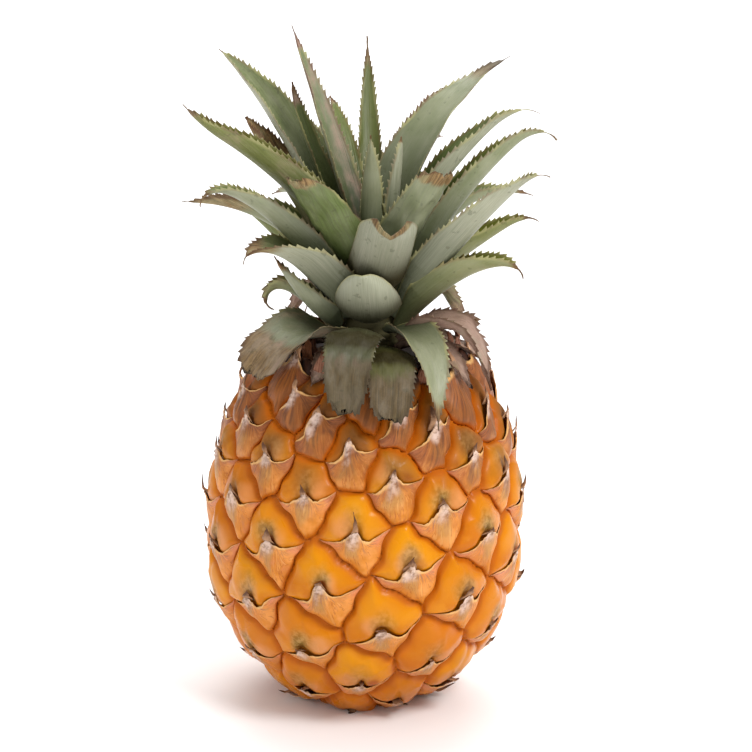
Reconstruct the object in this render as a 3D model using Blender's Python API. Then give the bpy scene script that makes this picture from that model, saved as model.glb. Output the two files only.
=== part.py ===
"""A ripe pineapple standing upright on its base, crown of spiny leaves on top.

Metres, +Z up.  The base rests on z = 0 with the fruit's axis on the Z axis, and
the side that faces the viewer looks toward -Y.
"""
import bpy
import bmesh
import math
import numpy as np
from mathutils import Vector
from mathutils.geometry import delaunay_2d_cdt

MM = 0.001

# Driving dimensions, in millimetres.
FRUIT_RADIUS = 47.0        # over the tips of the bracts, at the widest level
EQUATOR = 44.5             # height of the widest level above the table
SHOULDER_RISE = 61.5       # from the widest level to the virtual top
SHOULDER_POWER = 2.55      # how square the shoulder is
BELLY_DROP = 46.6          # from the widest level to the virtual bottom
BELLY_POWER = 1.81
NECK_HEIGHT = 100.5        # where the rind ends under the crown
RIND_DEPTH = 5.6           # from the bract tips down to the valleys
STEM_SCAR_RADIUS = 8.6
STEM_SCAR_DEPTH = 2.5
RIM_TURNS = 40             # corners of the rings at the neck and at the base

GOLDEN_TURN = math.radians(137.50776)
FIRST_EYE = -46            # eyes are counted down the spiral, 0 at mid height
LAST_EYE = 53
EYE_AREA = 371.0           # square millimetres of envelope for one eye at the equator
AREA_FALL = (0.146, 0.359) # eyes shrink toward the crown, and toward both ends
LEAST_AREA = 0.25          # smallest eye as a share of EYE_AREA
AREA_SPAN = 40.0           # height over which AREA_FALL counts
FIRST_EYE_HEIGHT = 16.45   # height of eye 0 above the equator
EYE_PHASE = math.radians(-93.8)
EYE_TWIST = (1.67e-4, -1.08e-6)   # the spiral's slow drift, by eye squared and cubed

CROWN_STEM_FOOT = 100.9
CROWN_STEM_TOP = 136.0
CROWN_STEM_RADIUS = 8.5

BLADE_THICKNESS = 1.3      # along the middle of a leaf, sharp at its margins
FOOT_SHARE = 0.4           # width of a leaf's foot as a share of its sheath
SHEATH_SHARE = 0.22        # how far along a leaf its full width is reached
STEM_GAP = 1.6             # from the stem to the middle of a leaf's foot
TOOTH_PITCH = 6.0
TOOTH_HEIGHT = 0.9
CLEARANCE = 0.3


def clear_scene():
    for item in list(bpy.data.objects):
        bpy.data.objects.remove(item, do_unlink=True)


def material(name, colour, roughness, coat=0.0):
    made = bpy.data.materials.new(name)
    made.use_nodes = True
    shader = made.node_tree.nodes["Principled BSDF"]
    shader.inputs["Base Color"].default_value = (*colour, 1.0)
    shader.inputs["Roughness"].default_value = roughness
    shader.inputs["Metallic"].default_value = 0.0
    shader.inputs["Coat Weight"].default_value = coat
    return made


def add_mesh(name, points, faces, surface):
    """Make one named object from points in millimetres and outward faces."""
    mesh = bpy.data.meshes.new(name)
    mesh.from_pydata([tuple(MM * float(value) for value in point) for point in points], [], faces)
    mesh.validate()
    mesh.shade_smooth()
    mesh.materials.append(surface)
    made = bpy.data.objects.new(name, mesh)
    bpy.context.scene.collection.objects.link(made)
    return made


# The fruit: a rind of fused eyes laid out on a spiral.

def envelope_radius(height, inset=0.0):
    """Radius of the fruit at a height above the equator, a superellipse on each side."""
    rise = SHOULDER_RISE if height >= 0 else BELLY_DROP
    power = SHOULDER_POWER if height >= 0 else BELLY_POWER
    share = min(abs(height) / rise, 0.9999)
    return (FRUIT_RADIUS - inset) * (1.0 - share ** power) ** (1.0 / power)


class Unrolled:
    """The rind unrolled to a flat disc that keeps angles: the neck ring is the inner circle."""

    def __init__(self, inset):
        top = NECK_HEIGHT - EQUATOR
        bottom = -EQUATOR
        self.heights = np.linspace(top, bottom, 1200)
        self.radii = np.array([envelope_radius(height, inset) for height in self.heights])
        drop = np.diff(self.heights)
        spread = np.diff(self.radii)
        arc = np.hypot(drop, spread)
        middle = 0.5 * (self.radii[1:] + self.radii[:-1])
        self.depths = np.concatenate([[0.0], np.cumsum(arc / middle)])
        self.deepest = self.depths[-1]

    def flat(self, angle, height):
        depth = np.interp(-height, -self.heights, self.depths)
        reach = math.exp(depth)
        return np.array([reach * math.cos(angle), reach * math.sin(angle)])

    def place(self, point):
        """Return angle, height, radius and outward slope of a flat point."""
        depth = math.log(max(math.hypot(point[0], point[1]), 1e-6))
        depth = min(max(depth, 0.0), self.deepest)
        angle = math.atan2(point[1], point[0])
        height = float(np.interp(depth, self.depths, self.heights))
        radius = float(np.interp(depth, self.depths, self.radii))
        lower = float(np.interp(depth + 0.01, self.depths, self.radii))
        upper = float(np.interp(depth - 0.01, self.depths, self.radii))
        fall = float(np.interp(depth - 0.01, self.depths, self.heights))
        fall -= float(np.interp(depth + 0.01, self.depths, self.heights))
        slope = math.atan2(lower - upper, max(fall, 1e-9))
        return angle, height, radius, slope


def eye_places():
    """Angle and height of every eye: equal turns round the axis and equal shares of area."""
    heights = np.linspace(-BELLY_DROP * 0.999, SHOULDER_RISE * 0.999, 4000)
    radii = np.array([envelope_radius(height) for height in heights])
    arc = np.hypot(np.diff(heights), np.diff(radii))
    middle = 0.5 * (heights[1:] + heights[:-1])
    share = middle / AREA_SPAN
    area = EYE_AREA * np.maximum(1.0 - AREA_FALL[0] * share - AREA_FALL[1] * share ** 2, LEAST_AREA)
    count = np.cumsum(math.tau * 0.5 * (radii[1:] + radii[:-1]) * arc / area)
    start = np.interp(FIRST_EYE_HEIGHT, middle, count)
    places = []
    for eye in range(FIRST_EYE, LAST_EYE + 1):
        turn = EYE_PHASE + eye * GOLDEN_TURN + EYE_TWIST[0] * eye ** 2 + EYE_TWIST[1] * eye ** 3
        places.append((turn, float(np.interp(start - eye, count, middle))))
    return places


def triangulate(points):
    """Delaunay triangles of flat points."""
    result = delaunay_2d_cdt([Vector(point) for point in points], [], [], 0, 1e-6)
    return [list(face) for face in result[2]]


def circle_centre(first, second, third):
    ax, ay = first
    bx, by = second
    cx, cy = third
    twice = 2.0 * (ax * (by - cy) + bx * (cy - ay) + cx * (ay - by))
    a2 = ax * ax + ay * ay
    b2 = bx * bx + by * by
    c2 = cx * cx + cy * cy
    x = (a2 * (by - cy) + b2 * (cy - ay) + c2 * (ay - by)) / twice
    y = (a2 * (cx - bx) + b2 * (ax - cx) + c2 * (bx - ax)) / twice
    return np.array([x, y])


def eye_cells(sheet):
    """Return the flat centre and the flat corners of every eye, corners in turn."""
    centres = [sheet.flat(turn, height) for turn, height in eye_places()]
    corners = {}
    for triangle in triangulate(centres):
        spot = circle_centre(*[centres[index] for index in triangle])
        for index in triangle:
            corners.setdefault(index, []).append(spot)
    cells = []
    for index, spots in corners.items():
        centre = centres[index]
        spots.sort(key=lambda spot: math.atan2(*(spot - centre)[::-1]))
        cells.append((centre, spots))
    return cells


# Inside one eye, as (angle in degrees, share of the way to the valley, height in mm).
# 90 points to the crown.  The lip runs from side to side and peaks at the bract's tip.
BRACT_LIP = [(180, 0.93, 1.4), (197, 0.62, 3.5), (214, 0.30, 4.0), (90, 0.02, 5.6),
             (326, 0.30, 4.0), (343, 0.62, 3.5), (360, 0.93, 1.4)]
CREASE = [(166, 0.66, 2.3), (160, 0.36, 2.7), (90, 0.17, 3.0), (20, 0.36, 2.7), (14, 0.66, 2.3)]
DOME = [(150, 0.60, 3.1), (118, 0.48, 3.7), (62, 0.48, 3.7), (30, 0.60, 3.1),
        (135, 0.80, 1.9), (90, 0.76, 2.6), (45, 0.80, 1.9)]
BRACT = [(228, 0.58, 2.7), (270, 0.36, 3.6), (270, 0.66, 2.4), (312, 0.58, 2.7),
         (250, 0.84, 1.1), (290, 0.84, 1.1), (205, 0.84, 1.2), (335, 0.84, 1.2)]
VALLEY_LIFT = 0.5          # height of the middle of a valley over its corners
SHORT_VALLEY = 0.35        # a valley under this share of the eye's reach gets no middle point
RIM_SLACK = 0.05           # share of the radius kept free beside the neck and base rings


def reach_to_valley(centre, spots, direction):
    """Distance from an eye's centre to its outline in a flat direction."""
    best = None
    for first, second in zip(spots, spots[1:] + spots[:1]):
        edge = second - first
        across = direction[0] * edge[1] - direction[1] * edge[0]
        if abs(across) < 1e-12:
            continue
        gap = first - centre
        distance = (gap[0] * edge[1] - gap[1] * edge[0]) / across
        along = (gap[0] * direction[1] - gap[1] * direction[0]) / across
        if distance > 0 and -1e-6 <= along <= 1 + 1e-6:
            best = distance if best is None else min(best, distance)
    return best


class FlatSheet:
    """Flat points with their lifts and the edges that the triangles must keep."""

    def __init__(self, outer):
        self.outer = outer
        self.points = []
        self.lifts = []
        self.edges = []

    def add(self, point, lift):
        self.points.append(point)
        self.lifts.append(lift)
        return len(self.points) - 1

    def inside(self, point, slack):
        """True between the neck ring, whose radius is 1, and the base ring."""
        reach = math.hypot(point[0], point[1])
        return 1.0 + slack < reach < self.outer * (1.0 - slack)

    def add_ring(self, reach):
        turns = np.linspace(0, math.tau, RIM_TURNS, endpoint=False)
        ring = [self.add(reach * np.array([math.cos(turn), math.sin(turn)]), 0.0) for turn in turns]
        self.edges += list(zip(ring, ring[1:] + ring[:1]))


def add_valleys(flat, spots, centre, corner_index, valleys_made):
    """Points and edges along an eye's outline, each valley made once for both of its eyes."""
    keys = []
    for spot in spots:
        key = (round(spot[0], 5), round(spot[1], 5))
        if key not in corner_index:
            corner_index[key] = flat.add(spot, 0.0) if flat.inside(spot, RIM_SLACK) else None
        keys.append(corner_index[key])
    for step, (first, second) in enumerate(zip(spots, spots[1:] + spots[:1])):
        start = keys[step]
        finish = keys[(step + 1) % len(keys)]
        if start is None or finish is None or start == finish:
            continue
        valley = tuple(sorted((start, finish)))
        if valley in valleys_made:
            continue
        valleys_made.add(valley)
        if np.linalg.norm(second - first) < SHORT_VALLEY * np.linalg.norm(first - centre):
            flat.edges.append((start, finish))
            continue
        half = flat.add(0.5 * (first + second), VALLEY_LIFT)
        flat.edges += [(start, half), (half, finish)]


def add_eye(flat, spots, centre):
    """Points of one eye, with its bract's lip kept as an edge from side to side."""
    up = -centre / np.linalg.norm(centre)
    right = np.array([up[1], -up[0]])
    lip = []
    for group in (BRACT_LIP, CREASE, DOME, BRACT):
        for angle, share, lift in group:
            turn = math.radians(angle)
            direction = right * math.cos(turn) + up * math.sin(turn)
            reach = reach_to_valley(centre, spots, direction)
            if reach is None:
                continue
            spot = centre + direction * reach * share
            if not flat.inside(spot, RIM_SLACK):
                continue
            index = flat.add(spot, lift)
            if group is BRACT_LIP:
                lip.append(index)
    if len(lip) == len(BRACT_LIP):
        flat.edges += list(zip(lip, lip[1:]))


def build_fruit_points():
    """Lay the eyes out flat, raise them by formula and roll the sheet round the fruit."""
    sheet = Unrolled(RIND_DEPTH)
    flat = FlatSheet(math.exp(sheet.deepest))
    flat.add_ring(1.0)
    flat.add_ring(flat.outer)
    corner_index = {}
    valleys_made = set()
    for centre, spots in eye_cells(sheet):
        whole = flat.inside(centre, 0.4 * RIM_SLACK) and len(spots) >= 4
        if not whole or max(math.hypot(*spot) for spot in spots) > 3.0 * flat.outer:
            continue
        add_valleys(flat, spots, centre, corner_index, valleys_made)
        add_eye(flat, spots, centre)

    result = delaunay_2d_cdt([Vector(point) for point in flat.points], flat.edges, [], 0, 1e-5)
    flat_points, triangles, origins = result[0], result[2], result[3]
    solid = []
    for point, origin in zip(flat_points, origins):
        lift = max((flat.lifts[index] for index in origin), default=1.0)
        angle, height, radius, slope = sheet.place(point)
        reach = radius + lift * math.cos(slope)
        level = max(EQUATOR + height + lift * math.sin(slope), 0.0)
        solid.append((reach * math.cos(angle), reach * math.sin(angle), level))
    faces = [tuple(face) for face in triangles]
    return solid, faces


def close_base(solid, faces):
    """Finish the underside: a flat ring to stand on round the recess of the stem scar."""
    rim = list(range(RIM_TURNS, 2 * RIM_TURNS))
    turns = np.linspace(0, math.tau, RIM_TURNS, endpoint=False)
    rings = [rim]
    for height in (0.0, STEM_SCAR_DEPTH):
        start = len(solid)
        for turn in turns:
            solid.append((STEM_SCAR_RADIUS * math.cos(turn), STEM_SCAR_RADIUS * math.sin(turn), height))
        rings.append(list(range(start, start + RIM_TURNS)))
    solid.append((0.0, 0.0, STEM_SCAR_DEPTH))
    for outer_ring, inner_ring in zip(rings, rings[1:]):
        for i in range(RIM_TURNS):
            j = (i + 1) % RIM_TURNS
            faces.append((outer_ring[i], outer_ring[j], inner_ring[j]))
            faces.append((outer_ring[i], inner_ring[j], inner_ring[i]))
    for i in range(RIM_TURNS):
        faces.append((rings[-1][i], rings[-1][(i + 1) % RIM_TURNS], len(solid) - 1))


def face_outward(made):
    """Turn every face of one closed mesh outward."""
    shape = bmesh.new()
    shape.from_mesh(made.data)
    bmesh.ops.recalc_face_normals(shape, faces=shape.faces)
    shape.to_mesh(made.data)
    shape.free()


def turned_solid(name, profile, turns, surface):
    """Turn a profile of (radius, height) points round the axis and close both ends."""
    points = []
    faces = []
    for radius, height in profile:
        for turn in np.linspace(0, math.tau, turns, endpoint=False):
            points.append((radius * math.cos(turn), radius * math.sin(turn), height))
    for level in range(len(profile) - 1):
        for i in range(turns):
            j = (i + 1) % turns
            first = level * turns
            second = first + turns
            faces.append((first + i, first + j, second + j, second + i))
    faces.append(tuple(reversed(range(turns))))
    faces.append(tuple(range((len(profile) - 1) * turns, len(profile) * turns)))
    made = add_mesh(name, points, faces, surface)
    face_outward(made)
    return made


# The crown: every leaf leaves the stem, bends over at its crook and ends at its tip.

def stem_radius(height):
    return float(np.interp(height, [100, 104, 130, 136], [CROWN_STEM_RADIUS + 1, CROWN_STEM_RADIUS, 5.0, 3.0]))


def blade_half_width(share, half, broken, rounded):
    """Half width along a leaf: narrow foot, broad sheath, then a long taper or a torn end."""
    if rounded:
        taper = math.sqrt(max(1.0 - 0.97 * max((share - 0.4) / 0.6, 0.0) ** 2, 0.0))
    elif broken:
        taper = 1.0 - broken * max((share - 0.1) / 0.9, 0.0) ** 1.5
    else:
        taper = 1.0 - max((share - 0.15) / 0.85, 0.0) ** 1.6
    foot = FOOT_SHARE + (1.0 - FOOT_SHARE) * min(share / SHEATH_SHARE, 1.0)
    return max(half * taper * foot, 0.35)


def curl_down(planar, shares, curl):
    """Turn the last quarter of a midline further over, step by step."""
    curled = [planar[0]]
    for row in range(1, len(planar)):
        step = planar[row] - planar[row - 1]
        late = max((0.5 * (shares[row] + shares[row - 1]) - 0.75) / 0.25, 0.0)
        angle = math.radians(curl) * late
        turned = np.array([step[0] * math.cos(angle) + step[1] * math.sin(angle),
                           step[1] * math.cos(angle) - step[0] * math.sin(angle)])
        curled.append(curled[-1] + turned)
    return curled


def leaf_midline(azimuth, foot, crook, tip, curl, sweep):
    """Rows of points from foot to tip, two for each tooth, with the leaf's sideways direction."""
    start = np.array([stem_radius(foot) + STEM_GAP, foot])
    middle = np.array(crook, float)
    end = np.array(tip, float)
    hull = np.linalg.norm(middle - start) + np.linalg.norm(end - middle)
    length = 0.5 * (np.linalg.norm(end - start) + hull)
    rows = 2 * max(4, round(length / TOOTH_PITCH))
    shares = np.linspace(0.0, 1.0, rows + 1)
    planar = [(1 - s) ** 2 * start + 2 * s * (1 - s) * middle + s * s * end for s in shares]
    if curl:
        planar = curl_down(planar, shares, curl)
    turn = math.radians(azimuth)
    away = np.array([math.cos(turn), math.sin(turn), 0.0])
    aside = np.array([-math.sin(turn), math.cos(turn), 0.0])
    upright = np.array([0.0, 0.0, 1.0])
    line = [p[0] * away + p[1] * upright + sweep * s * s * aside for p, s in zip(planar, shares)]
    return shares, line, aside


def close_end(first, strips, flip):
    """Triangles across one end of a blade, whose ring runs along the top and back below."""
    around = 2 * strips
    faces = []
    for j in range(strips):
        above = (first + j, first + j + 1)
        below = (first + (around - j) % around, first + around - j - 1)
        if j == 0:
            faces.append((above[0], above[1], below[1]))
        elif j == strips - 1:
            faces.append((above[0], above[1], below[0]))
        else:
            faces.append((above[0], above[1], below[1]))
            faces.append((above[0], below[1], below[0]))
    return [face[::-1] for face in faces] if flip else faces


def blade_faces(rows, strips):
    """Side triangles of a blade, split alike above and below, with both ends closed."""
    around = 2 * strips

    def from_middle(j):
        return abs(j - strips / 2) if j <= strips else abs(around - j - strips / 2)

    faces = close_end(0, strips, False)
    for row in range(rows):
        near = around * row
        far = near + around
        for j in range(around):
            k = (j + 1) % around
            if from_middle(j) >= from_middle(k):
                faces += [(near + j, far + k, near + k), (near + j, far + j, far + k)]
            else:
                faces += [(near + j, far + j, near + k), (near + k, far + j, far + k)]
    return faces + close_end(around * rows, strips, True)


def add_leaf(name, surface, azimuth, foot, crook, tip, half, cup=(100.0, 80.0), broken=0.0,
             curl=0.0, sweep=0.0, notch=0.0, strips=2, rounded=False):
    """One toothed leaf.  Crook and tip are (distance from the axis, height) in its own plane.

    azimuth is 0 to the right, 90 to the back and -90 to the front.  half is half the width
    across the blade laid flat, and cup is how far each half bends up at the foot and at the
    tip, in degrees.  broken is the share of its width that a torn leaf has lost at its end,
    notch is the depth of a split there, and rounded gives a worn round end.  curl turns the
    last quarter over and sweep carries the tip sideways.
    """
    shares, line, aside = leaf_midline(azimuth, foot, crook, tip, curl, sweep)
    rows = len(line) - 1
    points = []
    for row, share in enumerate(shares):
        ahead = line[min(row + 1, rows)] - line[max(row - 1, 0)]
        ahead = ahead / np.linalg.norm(ahead)
        across = aside - (aside @ ahead) * ahead
        across = across / np.linalg.norm(across)
        inward = np.cross(ahead, across)
        bend = math.radians(cup[0] + (cup[1] - cup[0]) * share)
        width = blade_half_width(share, half, broken, rounded)
        tooth = 0.0
        if row % 2 == 1 and share > 0.15:
            tooth = TOOTH_HEIGHT * min(1.0, width / 3.0)
        width += tooth
        thick = BLADE_THICKNESS * (0.45 + 0.55 * min(1.0, width / half))
        split = notch if row == rows else 0.0
        above = []
        below = []
        for j in range(strips + 1):
            place = 2.0 * j / strips - 1.0
            out = width * math.sin(bend * place) / bend
            up = width * (1.0 - math.cos(bend * place)) / bend
            along = tooth * abs(place) - split * (1.0 - abs(place))
            spot = line[row] + out * across + up * inward + along * ahead
            normal = inward * math.cos(bend * place) - across * math.sin(bend * place)
            lift = 0.5 * thick * (1.0 - place * place) * normal
            above.append(spot + lift)
            if 0 < j < strips:
                below.append(spot - lift)
        points += above + below[::-1]
    made = add_mesh(name, points, blade_faces(rows, strips), surface)
    face_outward(made)
    return made


def build_crown(green, dry):
    """Every leaf of the crown, lowest ring first."""
    # The collar: old leaves at the foot, dried and drooping over the shoulder.
    add_leaf("collar_leaf_1", dry, azimuth=175, foot=105, crook=(28, 127), tip=(31, 110), half=6,
             cup=(100, 80), curl=50)
    add_leaf("collar_leaf_2", dry, azimuth=-145, foot=104, crook=(27, 114), tip=(38, 97), half=13,
             cup=(50, 20), broken=0.35, strips=4)
    add_leaf("collar_leaf_3", dry, azimuth=-100, foot=107, crook=(35, 121), tip=(40, 92), half=7.6,
             cup=(70, 60), broken=0.3, sweep=1, strips=4)
    add_leaf("collar_leaf_4", dry, azimuth=-78.5, foot=104, crook=(35, 112), tip=(42, 91), half=7.1,
             cup=(60, 25), broken=0.3, sweep=-3, strips=4)
    add_leaf("collar_leaf_5", green, azimuth=-56.5, foot=108, crook=(33, 116), tip=(42, 88), half=6.9,
             cup=(60, 25), sweep=-1, strips=4)
    add_leaf("collar_leaf_6", dry, azimuth=-28, foot=105, crook=(33, 120), tip=(38, 94), half=7.5,
             cup=(100, 80))
    add_leaf("collar_leaf_7", dry, azimuth=0, foot=104, crook=(28, 112), tip=(29, 108), half=5,
             cup=(100, 80), broken=0.4, sweep=-2)
    add_leaf("collar_leaf_8", dry, azimuth=49, foot=104, crook=(26, 130), tip=(40, 98), half=7,
             cup=(100, 80), sweep=-2)
    add_leaf("collar_leaf_9", dry, azimuth=85, foot=103, crook=(31, 143), tip=(52, 102), half=8,
             cup=(70, 40))
    add_leaf("collar_leaf_10", dry, azimuth=112, foot=110, crook=(27, 141), tip=(50, 100), half=7.5,
             cup=(75, 30), sweep=1)
    add_leaf("collar_leaf_11", dry, azimuth=138, foot=103, crook=(24, 128), tip=(38, 96), half=6.0,
             cup=(110, 70), sweep=-6)
    add_leaf("collar_leaf_12", dry, azimuth=-118, foot=103, crook=(24, 104), tip=(34, 97), half=5.5,
             cup=(60, 30))
    add_leaf("collar_leaf_13", dry, azimuth=-38, foot=103, crook=(24, 110), tip=(36, 96), half=6,
             cup=(60, 30))
    add_leaf("collar_leaf_14", dry, azimuth=-167, foot=103, crook=(21, 106), tip=(34, 97), half=5.5,
             cup=(50, 25), sweep=1)
    add_leaf("collar_leaf_15", dry, azimuth=-3, foot=103, crook=(22, 107), tip=(34, 98), half=5.5,
             cup=(60, 30))
    # The lower ring: outer leaves that spread round the foot of the crown.
    add_leaf("lower_leaf_1", green, azimuth=162, foot=116, crook=(28, 142), tip=(57, 138), half=10,
             cup=(95, 90), sweep=1)
    add_leaf("lower_leaf_2", green, azimuth=153, foot=109, crook=(29, 132), tip=(47, 139), half=7.2,
             cup=(100, 85), sweep=-1)
    add_leaf("lower_leaf_3", green, azimuth=-150, foot=111, crook=(28, 137), tip=(41, 130), half=14,
             cup=(75, 40), curl=30, sweep=-2, strips=4)
    add_leaf("lower_leaf_4", green, azimuth=-159, foot=108, crook=(19, 112), tip=(29, 129), half=8,
             cup=(105, 85))
    add_leaf("lower_leaf_5", green, azimuth=-23, foot=108, crook=(30, 133), tip=(46, 129), half=10,
             cup=(100, 80), curl=30)
    add_leaf("lower_leaf_6", green, azimuth=10, foot=114, crook=(29, 132), tip=(45, 142), half=8.5,
             cup=(115, 100), curl=30, sweep=-6)
    add_leaf("lower_leaf_7", green, azimuth=-29, foot=111, crook=(36, 147), tip=(52, 159), half=10.2,
             cup=(110, 55), curl=20)
    add_leaf("lower_leaf_8", green, azimuth=-94, foot=111, crook=(17, 112), tip=(24, 127), half=11,
             cup=(55, 70), sweep=-1, strips=4, rounded=True)
    add_leaf("lower_leaf_9", green, azimuth=62, foot=110, crook=(30, 154), tip=(62, 130), half=8,
             cup=(70, 40))
    add_leaf("lower_leaf_10", green, azimuth=94, foot=115, crook=(27, 154), tip=(76, 131), half=8,
             cup=(70, 40), sweep=-2)
    add_leaf("lower_leaf_11", green, azimuth=124, foot=114, crook=(28, 147), tip=(62, 134), half=6,
             cup=(105, 70), sweep=-5)
    # The middle ring: the longest leaves, rising and arching out.
    add_leaf("middle_leaf_1", green, azimuth=190, foot=127, crook=(28, 155), tip=(56, 168), half=11.5,
             cup=(120, 100), curl=-25, sweep=5)
    add_leaf("middle_leaf_2", green, azimuth=206, foot=114, crook=(34, 150), tip=(53, 149), half=9.5,
             cup=(90, 60), curl=60, sweep=-3)
    add_leaf("middle_leaf_3", dry, azimuth=152, foot=120, crook=(37, 155), tip=(40, 163), half=9,
             cup=(95, 95), sweep=3)
    add_leaf("middle_leaf_4", green, azimuth=5, foot=117, crook=(28, 155), tip=(50, 167), half=10,
             cup=(95, 100), curl=50, sweep=5)
    add_leaf("middle_leaf_5", green, azimuth=-84, foot=118, crook=(17, 123), tip=(30, 142), half=11,
             cup=(70, 65), broken=0.12, sweep=2, notch=4, strips=4)
    add_leaf("middle_leaf_6", green, azimuth=35, foot=113, crook=(26, 150), tip=(56, 140), half=7,
             cup=(110, 85))
    add_leaf("middle_leaf_7", green, azimuth=74, foot=119, crook=(25, 159), tip=(62, 152), half=6.8,
             cup=(60, 45), sweep=-3)
    add_leaf("middle_leaf_8", green, azimuth=114, foot=120, crook=(26, 156), tip=(59, 157), half=6.3,
             cup=(80, 45))
    # The upper ring: leaves that stand up round the heart.
    add_leaf("upper_leaf_1", green, azimuth=144, foot=125, crook=(32, 165), tip=(55, 180), half=11,
             cup=(80, 55), sweep=2)
    add_leaf("upper_leaf_2", green, azimuth=-128, foot=121, crook=(21, 139), tip=(34, 153), half=12.5,
             cup=(75, 55), broken=0.5, sweep=-1, strips=4)
    add_leaf("upper_leaf_3", green, azimuth=-52, foot=124, crook=(15, 136), tip=(29, 155), half=10.5,
             cup=(90, 65), broken=0.35, sweep=2, strips=4)
    add_leaf("upper_leaf_4", green, azimuth=5, foot=127, crook=(19, 156), tip=(42, 175), half=9.5,
             cup=(100, 80), curl=30, sweep=-8)
    add_leaf("upper_leaf_5", green, azimuth=37, foot=133, crook=(14, 169), tip=(45, 181), half=10.5,
             cup=(55, 20), sweep=-2)
    add_leaf("upper_leaf_6", green, azimuth=60, foot=125, crook=(15, 162), tip=(41, 170), half=7,
             cup=(70, 40), sweep=2)
    add_leaf("upper_leaf_7", green, azimuth=95, foot=126, crook=(19, 151), tip=(40, 184), half=4.7,
             cup=(70, 40))
    # The heart: young leaves at the top of the stem.
    add_leaf("heart_leaf_1", green, azimuth=143, foot=133, crook=(17, 161), tip=(30, 189), half=5.5,
             cup=(70, 40), sweep=1)
    add_leaf("heart_leaf_2", green, azimuth=145, foot=129, crook=(29, 165), tip=(30, 173), half=4,
             cup=(70, 40), sweep=-1)
    add_leaf("heart_leaf_3", green, azimuth=117, foot=131, crook=(20, 162), tip=(30, 168), half=3.8,
             cup=(70, 40))
    add_leaf("heart_leaf_4", green, azimuth=-100, foot=133, crook=(4, 148), tip=(9, 163), half=4,
             cup=(70, 40))
    add_leaf("heart_leaf_5", green, azimuth=-30, foot=132, crook=(8, 156), tip=(8, 162), half=3.5,
             cup=(70, 40))


clear_scene()
rind = material("rind", (0.68, 0.29, 0.03), 0.42, coat=0.25)
leaf_green = material("leaf_green", (0.16, 0.22, 0.08), 0.55)
leaf_dry = material("leaf_dry", (0.33, 0.24, 0.13), 0.75)
cut_face = material("cut_stem", (0.55, 0.42, 0.22), 0.8)
stem_core = material("crown_stem", (0.60, 0.62, 0.40), 0.7)

fruit_points, fruit_faces = build_fruit_points()
close_base(fruit_points, fruit_faces)
fruit = add_mesh("fruit", fruit_points, fruit_faces, rind)
face_outward(fruit)
turned_solid("cut_stem", [(STEM_SCAR_RADIUS - CLEARANCE, 0.0),
                          (STEM_SCAR_RADIUS - CLEARANCE, STEM_SCAR_DEPTH - CLEARANCE)], 32, cut_face)
turned_solid("crown_stem", [(stem_radius(CROWN_STEM_FOOT), CROWN_STEM_FOOT), (stem_radius(112), 112),
                            (stem_radius(124), 124), (stem_radius(132), 132),
                            (1.5, CROWN_STEM_TOP)], 20, stem_core)
build_crown(leaf_green, leaf_dry)
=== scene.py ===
import math
import bpy
import numpy as np
from mathutils import Matrix, Vector


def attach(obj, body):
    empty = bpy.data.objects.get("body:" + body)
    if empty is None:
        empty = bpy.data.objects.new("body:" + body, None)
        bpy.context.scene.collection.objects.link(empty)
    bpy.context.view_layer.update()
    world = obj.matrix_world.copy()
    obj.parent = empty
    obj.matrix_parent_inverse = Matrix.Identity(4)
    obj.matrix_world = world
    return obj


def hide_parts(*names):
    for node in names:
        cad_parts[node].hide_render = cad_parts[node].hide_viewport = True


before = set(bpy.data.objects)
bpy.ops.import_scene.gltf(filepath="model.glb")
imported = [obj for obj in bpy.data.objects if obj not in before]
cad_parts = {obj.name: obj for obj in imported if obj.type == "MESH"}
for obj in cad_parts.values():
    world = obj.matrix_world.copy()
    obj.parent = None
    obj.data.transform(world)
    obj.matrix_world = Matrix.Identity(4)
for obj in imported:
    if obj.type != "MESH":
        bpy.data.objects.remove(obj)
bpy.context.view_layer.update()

# The rind.  A pineapple's rind is some hundred fused berries, the eyes, set on one spiral:
# the upper part of each is a glossy dome, and narrow furrows part it from its neighbours.
# The skin is waxy, hard and orange when ripe, with bruised patches above each bract's tip.

MM = 0.001
TURN = math.tau
FRUIT_RADIUS = 47.0
EQUATOR = 44.5
SHOULDER_RISE, SHOULDER_POWER = 61.5, 2.55
BELLY_DROP, BELLY_POWER = 46.6, 1.81
NECK_HEIGHT = 100.5
RIND_DEPTH = 5.6
STEM_SCAR_RADIUS, STEM_SCAR_DEPTH = 8.6, 2.5
GOLDEN_TURN = math.radians(137.50776)
EYES = np.arange(-46, 54)
EYE_AREA = 371.0
FIRST_TURN, FIRST_HEIGHT = math.radians(-93.8), 16.45
EYE_SPAN = 19.0
DOME_REACH, DOME_POWER = 7.0, 2.15
LIP_DIP, LIP_PEAK = 2.3, 4.1


def profile_radius(height, inset=0.0):
    """Superellipse of one rise above the equator and another below, less an inset in width."""
    rise = np.where(height >= 0, SHOULDER_RISE, BELLY_DROP)
    power = np.where(height >= 0, SHOULDER_POWER, BELLY_POWER)
    share = np.minimum(np.abs(height) / rise, 0.9999)
    return (FRUIT_RADIUS - inset) * (1 - share ** power) ** (1.0 / power)


# Depth runs down the rind from the neck, each step divided by the radius, so that a patch
# of the (turn, depth) plane keeps the shape that it has on the fruit.
level_heights = np.linspace(NECK_HEIGHT - EQUATOR, -EQUATOR, 1500)
level_radii = profile_radius(level_heights, RIND_DEPTH)
level_steps = np.hypot(np.diff(level_heights), np.diff(level_radii))
level_means = 0.5 * (level_radii[1:] + level_radii[:-1])
level_depths = np.concatenate([[0.0], np.cumsum(level_steps / level_means)])
DEEPEST = level_depths[-1]
level_slopes = np.arctan2(np.gradient(level_radii), -np.gradient(level_heights))


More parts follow.
